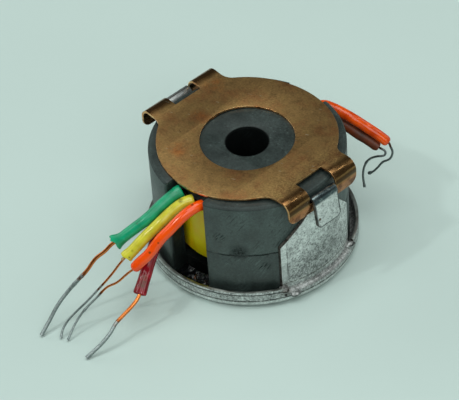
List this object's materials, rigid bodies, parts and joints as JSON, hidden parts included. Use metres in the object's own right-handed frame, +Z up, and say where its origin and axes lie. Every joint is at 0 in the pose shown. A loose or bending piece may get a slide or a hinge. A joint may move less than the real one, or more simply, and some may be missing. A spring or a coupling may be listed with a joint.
{
  "type": "high frequency transformer",
  "caption": "Round ferrite pot core transformer, held in a sheet-metal tray by a bowed latch spring, with taped windings and short sleeved copper leads.",
  "frame": {"origin": "centre of the tray's underside, on the core's axis", "axes": "+Z up along the core's bore; the tray's ears and the clip's lugs lie along +X and -X; the front leads leave towards -Y"},
  "size_m": [0.0295, 0.0489, 0.0175],
  "materials": {
    "ferrite": "dark grey ground ferrite, satin",
    "tinned_sheet": "dull tin, speckled and stained",
    "spring_bronze": "tarnished brown, mottled",
    "bobbin_resin": "black moulded",
    "enamelled_copper": "enamelled copper winding",
    "polyester_tape": "glossy yellow",
    "black_wax": "glossy black, hardened",
    "sleeve_green": "glossy",
    "sleeve_yellow": "glossy",
    "sleeve_orange": "glossy",
    "sleeve_red": "glossy",
    "lead_wire": "solid copper, tinned at the tip"
  },
  "bodies": {
    "root": {"tray": "tinned_sheet", "spring_clip": "spring_bronze", "core_upper": "ferrite", "core_lower": "ferrite", "bobbin": "bobbin_resin", "winding_primary": "enamelled_copper", "tape_primary": "polyester_tape", "winding_secondary": "enamelled_copper", "tape_secondary": "polyester_tape", "winding_auxiliary": "enamelled_copper", "tape_outer": "polyester_tape", "wax_residue": "black_wax", "sleeve_green": "sleeve_green", "sleeve_yellow": "sleeve_yellow", "sleeve_orange": "sleeve_orange", "sleeve_red": "sleeve_red", "sleeve_rear_upper": "sleeve_red", "sleeve_rear_lower": "sleeve_red", "lead_green": "lead_wire", "lead_yellow": "lead_wire", "lead_orange": "lead_wire", "lead_red": "lead_wire", "lead_rear_upper": "lead_wire", "lead_rear_lower": "lead_wire"}
  },
  "joints": []
}
